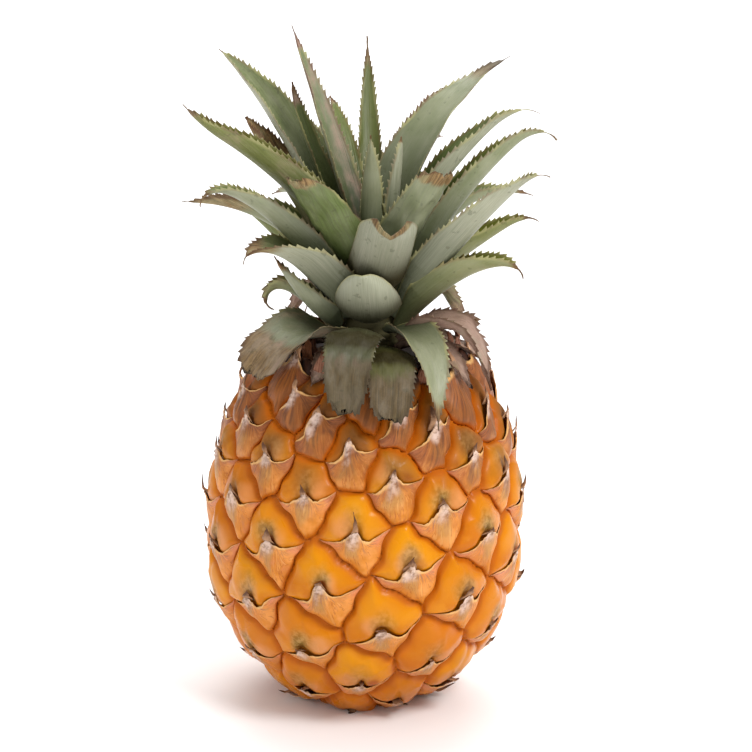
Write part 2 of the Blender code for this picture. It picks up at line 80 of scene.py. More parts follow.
def smooth_step(value, low, high):
    """Zero below low, one above high and an S curve between."""
    share = np.clip((value - low) / (high - low), 0.0, 1.0)
    return share * share * (3.0 - 2.0 * share)


def wobble(x, y, seed, pitch):
    """Smooth unevenness between -1 and 1: three crossed waves turned by the seed."""
    turn = seed * 40.0
    first = np.sin(x * TURN / pitch + turn + 1.3 * np.sin(y * TURN / pitch * 0.7 + turn * 2.1))
    second = np.sin(y * TURN / pitch * 1.21 + turn * 1.7 + 1.1 * np.sin(x * TURN / pitch * 0.6 + turn))
    third = np.sin((x + y) * TURN / pitch * 1.93 + turn * 3.1)
    return (first + second + 0.5 * third) / 2.5


def ring(radius, turn, height):
    """Points at a radius, a turn and a height about the fruit's axis."""
    return np.stack([radius * np.cos(turn), radius * np.sin(turn), height + 0 * turn], axis=-1)


def on_rind(turn, depth, lift):
    """Point at a turn and depth on the furrow surface, raised by lift along its normal.

    Crossed waves of about half a millimetre push the place sideways, so that no furrow runs
    dead straight; they fade out at the neck and at the base.
    """
    fade = 0.012 * smooth_step(depth, 0.1, 0.5) * smooth_step(DEEPEST - depth, 0.1, 0.5)
    shift = np.sin(17 * turn + 9 * depth) + 0.8 * np.sin(29 * turn - 21 * depth + 1.0)
    drop = np.sin(13 * turn - 17 * depth + 2.0) + 0.8 * np.sin(23 * turn + 31 * depth)
    turn = turn + fade * shift
    depth = np.clip(depth + fade * drop, 0.0, DEEPEST)
    radius = np.interp(depth, level_depths, level_radii)
    height = np.interp(depth, level_depths, level_heights) + EQUATOR
    slope = np.interp(depth, level_depths, level_slopes)
    return ring(radius + lift * np.cos(slope), turn, np.maximum(height + lift * np.sin(slope), 0.0))


def eye_layout():
    """Golden turns down the spiral, with heights that give each eye its share of the surface.

    An eye's area falls off from the equator as a quadratic of the height, and its turn drifts
    from the golden one by a small quadratic and cubic of its number.
    """
    heights = np.linspace(-BELLY_DROP * 0.999, SHOULDER_RISE * 0.999, 4000)
    radii = profile_radius(heights)
    middle = 0.5 * (heights[1:] + heights[:-1])
    arc = np.hypot(np.diff(heights), np.diff(radii))
    share = middle / 40.0
    area = EYE_AREA * np.maximum(1 - 0.146 * share - 0.359 * share ** 2, 0.25)
    count = np.cumsum(TURN * 0.5 * (radii[1:] + radii[:-1]) * arc / area)
    turns = FIRST_TURN + EYES * GOLDEN_TURN + 1.67e-4 * EYES ** 2 - 1.08e-6 * EYES ** 3.0
    return turns, np.interp(np.interp(FIRST_HEIGHT, middle, count) - EYES, count, middle)


def wrapped(turn):
    """Angle brought between minus half a turn and half a turn."""
    return (turn + math.pi) % TURN - math.pi


eye_turns, eye_heights = eye_layout()
eye_depths = np.interp(-eye_heights, -level_heights, level_depths)
eye_radii = np.interp(eye_depths, level_depths, level_radii)
inside = (eye_heights < level_heights[0] - 1.0) & (eye_heights > level_heights[-1] + 0.5)
draw = np.random.default_rng(7)
eye_seeds = draw.random(len(EYES))
eye_quirks = draw.random((len(EYES), 6))

# The furrow to a neighbour lies where both eyes are equally near, by a distance in which the
# squares of heights count less than those of widths, so that eyes have level tops and feet.
OUTLINE = 120
SQUAT = 0.62
outline_angles = np.linspace(0, TURN, OUTLINE, endpoint=False)


def neighbours(eye):
    """Places of the eyes round one eye, in radii of the fruit, and the same with heights weighed."""
    across = wrapped(eye_turns - eye_turns[eye])
    down = eye_depths - eye_depths[eye]
    near = (np.hypot(across, down) < 1.6) & (np.arange(len(EYES)) != eye)
    place = np.stack([across[near], -down[near]], axis=1)
    return place, place * np.array([1.0, SQUAT])


def eye_outline(eye):
    """Distance from an eye's middle to the nearest of its furrows, in each direction of a ring."""
    place, weighed = neighbours(eye)
    aim = np.stack([np.cos(outline_angles), np.sin(outline_angles)], axis=1) @ weighed.T
    half = 0.5 * (place * weighed).sum(axis=1)
    reach = np.where(aim > 1e-6, half / np.maximum(aim, 1e-6), 9.0)
    return np.minimum(reach.min(axis=1), 0.6) * eye_radii[eye]


outlines = np.array([eye_outline(eye) for eye in range(len(EYES))])


def outline_reach(eye, angle):
    """Outline distance of an eye at any angle, between the two directions next to it."""
    return np.interp(angle, outline_angles, outlines[eye], period=TURN)


def side_corners(middle):
    """Angle, x and y of every eye's furthest outline point within 40 degrees of a direction."""
    angles = middle + np.radians(np.linspace(-40, 40, 81))
    reaches = np.array([outline_reach(eye, angles) for eye in range(len(EYES))])
    best = np.argmax(reaches - 0.6 * np.abs(angles - middle), axis=1)
    angle, reach = angles[best], reaches[np.arange(len(EYES)), best]
    return angle, reach * np.cos(angle), reach * np.sin(angle)


left_angle, left_x, left_y = side_corners(math.pi)
right_angle, right_x, right_y = side_corners(0.0)
age = np.clip((eye_heights - 34.0) / 14.0, 0.0, 1.0)


def lip_height(eye, x):
    """Upper edge of a bract: a curly brace, hung between the side corners and drawn up to a tip."""
    span = np.maximum(right_x[eye] - left_x[eye], 1.0)
    share = np.clip((x - left_x[eye]) / span, 0.0, 1.0)
    base = left_y[eye] + (right_y[eye] - left_y[eye]) * share
    dip = LIP_DIP * (span / EYE_SPAN) * (1 - (2.0 * share - 1.0) ** 2) ** 0.9
    peak = (LIP_PEAK + 1.2 * age[eye]) * np.exp(-np.abs(x / (2.2 + 0.8 * age[eye])) ** 1.5)
    return base - dip + peak


def furrow_distance(eye, x, y):
    """Distance in mm from places in one eye to the nearest of its furrows."""
    place, weighed = [side * eye_radii[eye] for side in neighbours(eye)]
    half = 0.5 * (place * weighed).sum(axis=1)
    beyond = half - x[..., None] * weighed[:, 0] - y[..., None] * weighed[:, 1]
    return (beyond / np.linalg.norm(weighed, axis=1)).min(axis=-1)


def pillow(eye, edge):
    """Height of an eye over its furrow: a quarter of a superellipse, level past its reach."""
    rise = 1 - np.clip(edge / DOME_REACH, 0.0, 1.0)
    return (3.4 + 0.6 * eye_quirks[eye, 0]) * (1 - rise ** DOME_POWER) ** (1.0 / DOME_POWER)


def add_object(name, data):
    """Object of a mesh, a light or a camera, in the scene."""
    made = bpy.data.objects.new(name, data)
    bpy.context.scene.collection.objects.link(made)
    return made


def add_piece(name, points, faces, finish, fields, node=None):
    """Closed mesh from points in millimetres, with its own value fields, riding on the root."""
    mesh = bpy.data.meshes.new(name)
    faces = [face for block in faces for face in block.tolist()]
    mesh.from_pydata((points.reshape(-1, 3) * MM).tolist(), [], faces)
    for field, values in fields.items():
        layer = mesh.attributes.new(field, "FLOAT", "POINT")
        layer.data.foreach_set("value", values.ravel().astype(np.float32))
    mesh.shade_smooth()
    mesh.materials.append(finish)
    made = add_object(name, mesh)
    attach(made, "root")
    if node:
        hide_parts(node)


def grid_faces(rows, columns, start=0, loop=False, flip=False):
    """Quads of a grid of points, the last column joined to the first if it is a loop."""
    row, column = np.mgrid[:rows - 1, :columns if loop else columns - 1]
    row = row * columns
    after = (column + 1) % columns
    quads = np.stack([row + column, row + after, row + columns + after, row + columns + column], axis=-1)
    quads = quads.reshape(-1, 4)
    return start + (quads[:, ::-1] if flip else quads)


def tube_faces(rings, around, start=0, flip=False):
    """Quads between the rings of a tube, and one face over each end."""
    caps = [np.arange(around)[::-1], np.arange((rings - 1) * around, rings * around)]
    return [grid_faces(rings, around, start, loop=True, flip=flip)] + [
        start + (cap[::-1] if flip else cap)[None, :] for cap in caps]


def rind_fields(turn, depth):
    """Nearest eye of every point, its place in that eye and how far the furrow is, in mm.

    The furrow to a neighbour is as far as the difference of the two squared gaps, over twice
    the weighed distance between the eyes.
    """
    across = wrapped(turn[:, None] - eye_turns[None, :])
    down = depth[:, None] - eye_depths[None, :]
    gap = np.hypot(across, math.sqrt(SQUAT) * down)
    order = np.argpartition(gap, 8, axis=1)[:, :9]
    gaps = np.take_along_axis(gap, order, 1)
    rows = np.arange(len(turn))
    eye = order[rows, np.argmin(gaps, 1)]
    away = np.hypot(wrapped(eye_turns[order] - eye_turns[eye][:, None]),
                    SQUAT * (eye_depths[order] - eye_depths[eye][:, None]))
    line = (gaps ** 2 - gap[rows, eye][:, None] ** 2) / (2.0 * np.maximum(away, 1e-6))
    line[away < 1e-6] = 9.0
    edge = line.min(axis=1) * eye_radii[eye]
    return eye, across[rows, eye] * eye_radii[eye], -down[rows, eye] * eye_radii[eye], edge


def rind_lift(eye, x, y, edge):
    """Pillow with a groove behind the bract's lip, a step down under it and a soft seam above."""
    above = y - lip_height(eye, x)
    groove = 0.5 + 0.32 * smooth_step(above, -1.0, 0.1) + 0.18 * smooth_step(above, 0.1, 1.8)
    aside = (x - 2.0 * (eye_quirks[eye, 1] - 0.5)) / 0.8
    seam = 0.22 * np.exp(-aside ** 2) * smooth_step(above, 1.0, 4.0)
    dent = 0.45 * np.exp(-((x / 1.8) ** 2 + ((above - 1.0) / 1.6) ** 2))
    dimple = 0.16 * wobble(x, y, eye_seeds[eye], 6.5)
    return pillow(eye, edge) * groove + (dimple - seam - dent) * smooth_step(edge, 0.0, 3.0)


def linear(screen):
    """Linear colour of an 8-bit screen colour: a power of 2.4 that starts as a straight line."""
    parts = [part / 255 for part in screen]
    return [part / 12.92 if part < 0.04 else ((part + 0.055) / 1.055) ** 2.4 for part in parts]


class Wire:
    """A socket of a material's tree that can be used in sums."""

    def __init__(self, tree, socket):
        self.tree = tree
        self.socket = socket

    def node(self, kind, inputs=(), output=0, **settings):
        """Add a node of any other kind, with inputs given as (index or name, wire or value)."""
        made = self.tree.nodes.new("ShaderNode" + kind)
        for name, setting in settings.items():
            setattr(made, name, setting)
        for index, given in inputs:
            if isinstance(given, Wire):
                self.tree.links.new(given.socket, made.inputs[index])
            else:
                made.inputs[index].default_value = given
        return Wire(self.tree, made.outputs[output])

    def math(self, operation, first, second=0.0):
        """One sum of two wires or values."""
        return self.node("Math", [(0, first), (1, second)], operation=operation)

    def __add__(self, other):
        return self.math("ADD", self, other)

    def __radd__(self, other):
        return self.math("ADD", other, self)

    def __sub__(self, other):
        return self.math("SUBTRACT", self, other)

    def __rsub__(self, other):
        return self.math("SUBTRACT", other, self)

    def __mul__(self, other):
        return self.math("MULTIPLY", self, other)

    def __rmul__(self, other):
        return self.math("MULTIPLY", other, self)

    def __truediv__(self, other):
        return self.math("DIVIDE", self, other)

    def __pow__(self, other):
        return self.math("POWER", self, other)

    def fraction(self):
        """What is left past the whole number."""
        return self.math("FRACT", self)

    def ramp(self, low, high):
        """Smooth step from 0 at low to 1 at high."""
        return self.node("MapRange", [(0, self), (1, low), (2, high)],
                         interpolation_type="SMOOTHSTEP")


class Finish:
    """A Principled material under construction, with the fields and noises that it reads."""

    def __init__(self, name, roughness, coat=0.0, coat_roughness=0.3, specular=0.5):
        self.made = bpy.data.materials.new(name)
        self.made.use_nodes = True
        self.tree = self.made.node_tree
        self.inputs = self.tree.nodes["Principled BSDF"].inputs
        for part, value in (("Roughness", roughness), ("Coat Weight", coat),
                            ("Coat Roughness", coat_roughness), ("Specular IOR Level", specular)):
            self.inputs[part].default_value = value
        self.root = Wire(self.tree, None)
        self.place = self.root.node("TexCoord", output="Object")

    def fields(self, *names):
        """The piece's own value fields of these names."""
        return [self.root.node("Attribute", output="Fac", attribute_name=name)
                for name in names]

    def noise(self, scale, detail=3.0, where=None):
        """Noise of so many cells to the metre, or to the unit of another place."""
        return self.root.node("TexNoise", [("Vector", where or self.place), ("Scale", scale),
                                                     ("Detail", detail), ("Roughness", 0.55)])

    def spot(self, x, y, z=0.0):
        """Place made of three values."""
        return self.root.node("CombineXYZ", [(0, x), (1, y), (2, z)])

    def mix(self, share, first, second):
        """Colour between two colours, each a wire or three 8-bit screen values."""
        ends = [end if isinstance(end, Wire) else (*linear(end), 1.0) for end in (first, second)]
        return self.root.node("Mix", [(0, share), (6, ends[0]), (7, ends[1])], output=2,
                              data_type="RGBA")

    def finish(self, colour, roughness, height, bump=0.3, distance=0.0003):
        """Join the colour, the roughness and the height of the bumps to the shader."""
        self.tree.links.new(colour.socket, self.inputs["Base Color"])
        if roughness:
            self.tree.links.new(roughness.socket, self.inputs["Roughness"])
        normal = self.root.node("Bump", [("Strength", bump), ("Distance", distance),
                                                   ("Height", height)])
        self.tree.links.new(normal.socket, self.inputs["Normal"])
        return self.made


def rind_finish():
    """Waxy orange domes, burnt orange furrows, and a grey-green bruise over each bract's tip.

    Each layer's share is a smooth step of a distance in the eye, made uneven by noise.
    """
    skin = Finish("rind", 0.3, coat=0.07, coat_roughness=0.14, specular=0.14)
    x, above, rise, edge, seed, level = skin.fields("eye_x", "above", "rise", "edge", "seed", "level")
    mottle = skin.noise(150.0)
    broad = skin.noise(40.0, 2.0)
    grain = skin.noise(800.0)
    patch = mottle - 0.5
    gold = skin.mix((seed * 0.6 + broad * 0.9 - 0.3).ramp(0.1, 0.9), (216, 140, 0), (194, 108, 0))
    sheen = skin.mix(mottle.ramp(0.4, 0.6), (206, 130, 26), (188, 102, 4))
    gold = skin.mix((1 - (rise + patch * 7.0).ramp(-1.0, 4.5)) * (0.3 + 0.8 * broad), gold, sheen)
    blush_gap = ((x - (seed - 0.4) * 9.0) ** 2 + (rise - 0.8) ** 2) ** 0.5
    blush = 1 - (blush_gap + patch * 5.0).ramp(0.8, 4.6)
    gold = skin.mix(blush * 0.8, gold, (212, 142, 84))
    bruise_gap = ((x * 0.9) ** 2 + ((rise - 1.6) * 0.7) ** 2) ** 0.5
    bruise = (1 - (bruise_gap + patch * 3.6).ramp(0.5, 4.0)) * (0.45 + seed * 0.5)
    gold = skin.mix(bruise, gold, skin.mix(grain.ramp(0.35, 0.65), (112, 90, 38), (172, 138, 80)))
    rust_gap = ((x - (0.6 - seed) * 9.0) ** 2 + (rise + 0.4) ** 2) ** 0.5
    rust = (1 - (rust_gap + patch * 3.0).ramp(0.4, 2.2)) * (seed * 5.0).fraction().ramp(0.55, 0.75)
    gold = skin.mix(rust * 0.85, gold, (140, 58, 8))
    burnt = (seed * 7.0).fraction().ramp(0.45, 1.0)
    gold = skin.mix(burnt * 0.35, gold, (190, 100, 4))
    # Darker and browner towards the top rows: partly real browning of the rind, partly painted shade
    # under the crown.
    brown_and_shade = (level + patch * 0.25).ramp(0.64, 0.9)
    gold = skin.mix(brown_and_shade * 0.9, gold, skin.mix(mottle, (76, 40, 10), (136, 78, 20)))
    low = 1 - (level + patch * 0.2).ramp(0.02, 0.3)
    gold = skin.mix(low * 0.5, gold, (168, 84, 0))
    # Painted shade: a darker line in the crease just above each bract's lip.
    crease_shade = 1 - (above * above).ramp(0.02, 0.3)
    gold = skin.mix(crease_shade * 0.4, gold, (140, 80, 14))
    # Painted shade: the domes darken over their last few millimetres down into the valleys between eyes.
    valley_shade = 1 - (edge + patch * 1.2).ramp(0.2, 3.4)
    gold = skin.mix(valley_shade * 0.5, gold, (192, 100, 0))
    furrow = 1 - (edge + patch * 0.4).ramp(0.3, 1.6)
    gold = skin.mix(furrow, gold, (178, 90, 0))
    colour = skin.mix(level.ramp(0.965, 0.985), gold, (58, 34, 24))
    rough = 0.28 + furrow * 0.25 + bruise * 0.25 + brown_and_shade * 0.3 + (broad - 0.5) * 0.15
    return skin.finish(colour, rough, mottle * 0.5 + grain * 0.35, bump=0.25, distance=0.0004)


RIND_TURNS, RIND_ROWS = 424, 224
turn_grid = np.linspace(0, TURN, RIND_TURNS, endpoint=False)
grid_depth, grid_turn = np.meshgrid(np.linspace(0, DEEPEST, RIND_ROWS), turn_grid, indexing="ij")
grid_depth, grid_turn = grid_depth.ravel(), grid_turn.ravel()
rind_eye, rind_x, rind_y, rind_edge = rind_fields(grid_turn, grid_depth)
fade = smooth_step(grid_depth, 0.0, 0.06) * smooth_step(DEEPEST - grid_depth, 0.0, 0.08)
raised = rind_lift(rind_eye, rind_x, rind_y, rind_edge) * fade
rind_points = np.concatenate([on_rind(grid_turn, grid_depth, raised),
                              ring(STEM_SCAR_RADIUS, turn_grid, 0.0),
                              ring(STEM_SCAR_RADIUS, turn_grid, STEM_SCAR_DEPTH)])
pad = np.zeros(2 * RIND_TURNS)
fields = {"eye_x": (rind_x, pad), "edge": (rind_edge, pad), "seed": (eye_seeds[rind_eye], pad),
          "above": (rind_y - lip_height(rind_eye, rind_x), pad + 5),
          "rise": (rind_y - lip_height(rind_eye, 0.0), pad + 5)}
fields = {field: np.concatenate(parts) for field, parts in fields.items()}
add_piece("fruit_skin", rind_points, tube_faces(RIND_ROWS + 2, RIND_TURNS, flip=True), rind_finish(),
          {**fields, "level": rind_points[:, 2] / NECK_HEIGHT}, node="fruit")

# The bracts.  Under every eye a leathery scale wraps the lower third and ends in a free lip
# shaped like a curly brace, thin and dry at its edge.  It is peach to pink with fine grey
# streaks that run down from the tip, and it grows out of the furrow below the eye.

BRACT_ROWS, BRACT_COLUMNS = 14, 35
BRACT_SHELL = 0.6


def bract_sheet(eye):
    """Sheet from the lower outline of an eye (row 0) to its lip (last row), as x, y and lift.

    It follows the pillow a little under its full height, and turns out at the lip: slightly
    at the sides and by up to two millimetres at the tip.
    """
    share = np.linspace(0.0, 1.0, BRACT_COLUMNS)
    share = 0.5 + (share - 0.5) * (0.6 + 0.4 * np.abs(2 * share - 1))
    start = left_angle[eye] + 0.02
    stop = right_angle[eye] + TURN - 0.02
    angle = start + (stop - start) * share
    reach = np.maximum(outline_reach(eye, angle) - 0.3, 0.5)
    low_x, low_y = reach * np.cos(angle), reach * np.sin(angle)
    top_x = left_x[eye] + 0.4 + (right_x[eye] - left_x[eye] - 0.8) * share
    top_y = lip_height(eye, top_x)
    along = np.linspace(0.0, 1.0, BRACT_ROWS)[:, None] ** 0.9
    x = low_x + (top_x - low_x) * along
    y = low_y + (top_y - low_y) * along
    tip = np.exp(-np.abs(top_x / 2.3) ** 1.6)
    flare = (0.05 + (0.8 + 0.9 * eye_quirks[eye, 2] + 1.6 * age[eye]) * tip) * along ** 4
    lift = 0.1 + 0.9 * pillow(eye, furrow_distance(eye, x, y)) + flare
    return x, y, lift, along + 0 * share, share + 0 * along


def sheet_faces(rows, columns, start, flip=False):
    """Quads of a sheet's front, of its back, and of the rim that joins the two all round."""
    size = rows * columns
    right, left = np.arange(2, rows + 1) * columns - 1, np.arange(rows - 2, 0, -1) * columns
    edge = np.concatenate([np.arange(columns), right, np.arange(size - 2, size - columns - 1, -1), left])
    after = np.roll(edge, -1)
    rim = np.stack([after, edge, edge + size, after + size], axis=1)
    return [grid_faces(rows, columns, start, flip=flip),
            grid_faces(rows, columns, start + size, flip=not flip),
            start + (rim[:, ::-1] if flip else rim)]


def bract_finish():
    """Leathery peach skin, pinker at the sides, streaked with grey down from a pale papery tip.

    The streaks are noise drawn out along the bract, in a fan that narrows towards its foot.
    """
    skin = Finish("bract", 0.45, coat=0.04, specular=0.16)
    x, along, side, seed, level = skin.fields("x", "along", "across", "seed", "level")
    grain = skin.noise(700.0, 4.0)
    mottle = skin.noise(170.0)
    patch = mottle - 0.5
    streak = skin.noise(1.0, 3.0, skin.spot(x * 2.2 / (1.6 - along), along * 1.6, seed * 31.0))
    body = skin.mix(mottle.ramp(0.35, 0.65), (222, 146, 72), (206, 124, 34))
    flank = ((side - 0.5) * (side - 0.5) * 4.0 + patch * 1.8).ramp(0.0, 0.7)
    body = skin.mix(flank * 0.8, body, (230, 146, 112))
    glow = (1 - along).ramp(0.2, 0.8) * mottle.ramp(0.35, 0.6)
    body = skin.mix(glow * 0.5, body, (196, 116, 2))
    sage = (1 - (x * x * 0.16 + patch * 1.6).ramp(0.1, 1.0)) * along.ramp(0.15, 0.5)
    body = skin.mix(sage * 0.65, body, (176, 134, 76))
    dust = streak.ramp(0.45, 0.65) * (along + patch * 0.8).ramp(0.2, 0.85)
    body = skin.mix(dust * 0.8, body, skin.mix(mottle, (128, 74, 70), (160, 116, 80)))
    vein = 1 - ((streak - 0.42) * (streak - 0.42)).ramp(0.0, 0.0006)
    body = skin.mix(vein * 0.5, body, (146, 58, 24))
    body = skin.mix((1 - streak.ramp(0.3, 0.45)) * 0.35, body, (218, 166, 100))
    # Darker and browner towards the top rows: partly real browning of the bracts, partly painted shade
    # under the crown.
    brown_and_shade = (level + patch * 0.3).ramp(0.6, 0.88)
    bark_and_shade = skin.mix(streak.ramp(0.3, 0.7), (146, 84, 42), (88, 48, 30))
    body = skin.mix(brown_and_shade * 0.85, body, bark_and_shade)
    low = 1 - (level + patch * 0.2).ramp(0.02, 0.25)
    body = skin.mix(low * 0.45, body, (156, 80, 8))
    lip = (along + (grain - 0.5) * 0.12).ramp(0.84, 0.96)
    body = skin.mix(lip * 0.85, body, (230, 180, 114))
    knot_gap = (x * x * 0.8 + (along * 5.0 - 5.0) * (along * 5.0 - 5.0)) ** 0.5
    knot = 1 - (knot_gap + patch * 2.6).ramp(0.4, 2.3)
    paper = skin.mix(grain.ramp(0.4, 0.7), (220, 194, 180), (128, 98, 82))
    body = skin.mix(knot * 0.9, body, paper)
    foot = 1 - (along + (grain - 0.5) * 0.06).ramp(0.0, 0.12)
    colour = skin.mix(foot * 0.8, body, (178, 88, 0))
    rough = 0.36 + lip * 0.2 + knot * 0.3 + streak * 0.1
    return skin.finish(colour, rough, streak * 0.8 + grain * 0.3, bump=0.5, distance=0.0005)


bract_points, bract_values, bract_faces = [], [], []
shown = [eye for eye in range(len(EYES)) if inside[eye] and eye_depths[eye] < DEEPEST - 0.12]
for index, eye in enumerate(shown):
    seed = eye_seeds[eye]
    x, y, lift, along, share = bract_sheet(eye)
    knot = np.exp(-(x / 2.4) ** 2) * along ** 2
    lift = lift + wobble(x, y, seed, 4.2) * along ** 2 * 0.16 + wobble(y, x, seed, 1.3) * knot * 0.4
    x = x + wobble(y, x, seed, 2.6) * along ** 5 * 0.2
    y = y + wobble(x, y, seed + 3.0, 1.9) * (along ** 5 * 0.16 + knot * 0.3)
    turn = eye_turns[eye] + x / eye_radii[eye]
    for below in (0.0, 1.0):
        raised = lift - below * (BRACT_SHELL * (0.35 + 0.65 * (1 - along)))
        depth = eye_depths[eye] - (y - below * 0.05) / eye_radii[eye]
        bract_points.append(on_rind(turn, depth, np.maximum(raised, -0.3)).reshape(-1, 3))
        bract_values.append(np.stack([x, along, share, 0 * x + seed], axis=-1).reshape(-1, 4))
    bract_faces += sheet_faces(BRACT_ROWS, BRACT_COLUMNS, 2 * BRACT_ROWS * BRACT_COLUMNS * index)
bract_points = np.concatenate(bract_points)
fields = dict(zip(("x", "along", "across", "seed"), np.concatenate(bract_values).T))
add_piece("bracts", bract_points, bract_faces, bract_finish(),
          {**fields, "level": bract_points[:, 2] / NECK_HEIGHT})

# The spines.  Each bract's tip runs out into a dried brown point, papery at its foot, which
# lies up against the dome above; some are worn short and some still six millimetres long.

SPINE_ROWS, SPINE_AROUND = 12, 8
spine_along = np.linspace(0.0, 1.0, SPINE_ROWS)[:, None]
spine_round = np.linspace(0.0, TURN, SPINE_AROUND, endpoint=False)[None, :]
spine_points, spine_values, spine_faces = [], [], []
for index, eye in enumerate(shown):
    length = 1.3 + 4.2 * eye_quirks[eye, 3] ** 3 + 2.0 * age[eye]
    width = (0.9 + 0.7 * eye_quirks[eye, 4]) * (1 - spine_along ** 1.3) + 0.1
    lean = (eye_quirks[eye, 5] - 0.5) * 2.4
    x = lean * spine_along ** 2 + width * np.cos(spine_round)
    y = lip_height(eye, 0.0) - 1.6 + (length + 1.6) * spine_along + 0 * spine_round
    x = x + 0.35 * wobble(y, x, eye_seeds[eye], 2.3) * spine_along
    past = y - lip_height(eye, 0.0)
    lip_x, _, lip_lift = bract_sheet(eye)[:3]
    stand = np.interp(0.0, lip_x[-1], lip_lift[-1]) - 0.1
    stand = stand + 1.3 * np.minimum(past, 0.0) + 0.2 * np.maximum(past, 0.0)
    lift = stand + 0.35 * width * np.sin(spine_round)
    turn = eye_turns[eye] + x / eye_radii[eye]
    spine_points.append(on_rind(turn, eye_depths[eye] - y / eye_radii[eye], lift).reshape(-1, 3))
    spine_values.append((spine_along + 0 * spine_round).ravel())
    spine_faces += tube_faces(SPINE_ROWS, SPINE_AROUND, index * SPINE_ROWS * SPINE_AROUND)


def spine_finish():
    """Papery grey at the foot and burnt brown at the point."""
    skin = Finish("spine", 0.65, specular=0.3)
    along, = skin.fields("along")
    grain = skin.noise(900.0)
    burnt = (along + (grain - 0.5) * 0.6).ramp(0.2, 0.8)
    return skin.finish(skin.mix(burnt, (172, 130, 96), (86, 52, 30)), None, grain)


add_piece("spines", np.concatenate(spine_points), spine_faces, spine_finish(),
          {"along": np.concatenate(spine_values)})

# The neck scales.  Between the topmost eyes and the crown stand rows of small dead bracts,
# papery, mauve to dark brown and curled, that grow from the neck of the fruit.

SCALE_ROWS, SCALE_COLUMNS = 14, 9


def neck_scale(turn, radius, foot, length, width, lean, seed):
    """Pointed scale: an arc across, narrowing as 1 - along squared, leaning out and curling in.

    It rises from its foot by the cosine of its lean and goes outward by the sine, and the
    lean falls off along its length.
    """
    along = np.linspace(0.0, 1.0, SCALE_ROWS)[:, None]
    across = np.linspace(-1.0, 1.0, SCALE_COLUMNS)[None, :]
    tilt = lean * (1 - 0.9 * along)
    half = width * (1 - along ** 2) ** 0.7 + 0.1
    crinkle = 0.5 * wobble(along * length, across * width, seed, 3.6)
    out = radius + length * along * np.sin(tilt) - 0.9 * across ** 2 + crinkle
    rise = foot + length * along * np.cos(tilt) + 0 * across
    aside = across * half
    shell = 0.5 * (1 - 0.6 * along)
    sheets = [np.stack([reach * math.cos(turn) - aside * math.sin(turn),
                        reach * math.sin(turn) + aside * math.cos(turn), rise], axis=-1).reshape(-1, 3)
              for reach in (out, out - shell)]
    return np.concatenate(sheets), along + 0 * across, across + 0 * along


def scale_finish():
    """Papery mauve with dark fibres, darker at the foot and pale at the torn point."""
    skin = Finish("neck_scale", 0.75, specular=0.2)
    along, across, seed = skin.fields("along", "across", "seed")
    fibre = skin.noise(1.0, 3.0, skin.spot(across * 9.0, along * 1.2, seed * 40.0))
    colour = skin.mix(fibre.ramp(0.35, 0.65), (158, 116, 98), (92, 58, 50))
    colour = skin.mix((seed * 3.0).fraction() * 0.6, colour, (176, 104, 52))
    colour = skin.mix(1 - (along + (fibre - 0.5) * 0.4).ramp(0.0, 0.5), colour, (62, 36, 26))
    return skin.finish(colour, None, fibre, bump=0.6, distance=0.0005)


scale_points, scale_faces, scale_values = [], [], []
for index in range(44):
    pick = draw.random(6)
    row = (index % 4) / 3.0
    points, along, across = neck_scale(
        index * GOLDEN_TURN, radius=19.0 + 8.5 * row, foot=99.2 - 2.6 * row, length=5.5 + 4.5 * pick[0],
        width=2.6 + 1.6 * pick[1], lean=0.2 + 0.6 * pick[2], seed=pick[3])
    scale_points.append(points)
    start = 2 * SCALE_ROWS * SCALE_COLUMNS * index
    scale_faces += sheet_faces(SCALE_ROWS, SCALE_COLUMNS, start, flip=True)
    values = np.stack([along, across, 0 * along + pick[4]], axis=-1).reshape(-1, 3)
    scale_values.append(np.tile(values, (2, 1)))
add_piece("neck_scales", np.concatenate(scale_points), scale_faces, scale_finish(),
          dict(zip(("along", "across", "seed"), np.concatenate(scale_values).T)))

# The cut stem.  Where the fruit was cut from the plant a pale woody disc fills the recess in
# the base, with the ends of the fibres showing as dots and a corky ring round it.


def cut_stem_finish():
    """Straw-coloured cork dotted with fibre ends."""
    skin = Finish("cut_stem", 0.8, specular=0.2)
    grain = skin.noise(500.0, 4.0)
    fibres = skin.noise(1500.0, 1.0).ramp(0.6, 0.7)
    colour = skin.mix(grain, (196, 160, 104), (150, 108, 62))
    return skin.finish(skin.mix(fibres * 0.7, colour, (96, 62, 34)), None, grain + fibres, bump=0.6)


disc_turn = np.linspace(0, TURN, 96, endpoint=False)[None, :]
disc_radius = np.array([8.25, 8.25, 8.0, 7.2, 6.0, 4.5, 3.0, 1.5, 0.3])[:, None]
disc_height = np.array([2.2, 0.3, 0.05, 0.25, 0.4, 0.5, 0.45, 0.5, 0.5])[:, None]
disc_height = disc_height + 0.04 * np.sin(9 * disc_turn) * (disc_radius < 7.5)
add_piece("stem_scar", ring(disc_radius, disc_turn, disc_height),
          tube_faces(9, 96, flip=True), cut_stem_finish(), {}, node="cut_stem")

# The crown stem.  A short woody stem carries the leaves and grows out of the fruit's top.
# It is ringed by the scars of shed leaves and hardly shows between the leaf bases.


def crown_stem_finish():
    """Pale brown woody skin with close level rings."""
    skin = Finish("crown_stem", 0.75, specular=0.2)
    rings = skin.noise(120.0, 3.0, skin.place.node("VectorMath", [
        (0, skin.place), (1, (0.3, 0.3, 6.0))], operation="MULTIPLY"))
    return skin.finish(skin.mix(rings, (46, 44, 26), (80, 74, 44)), None, rings, bump=0.5)


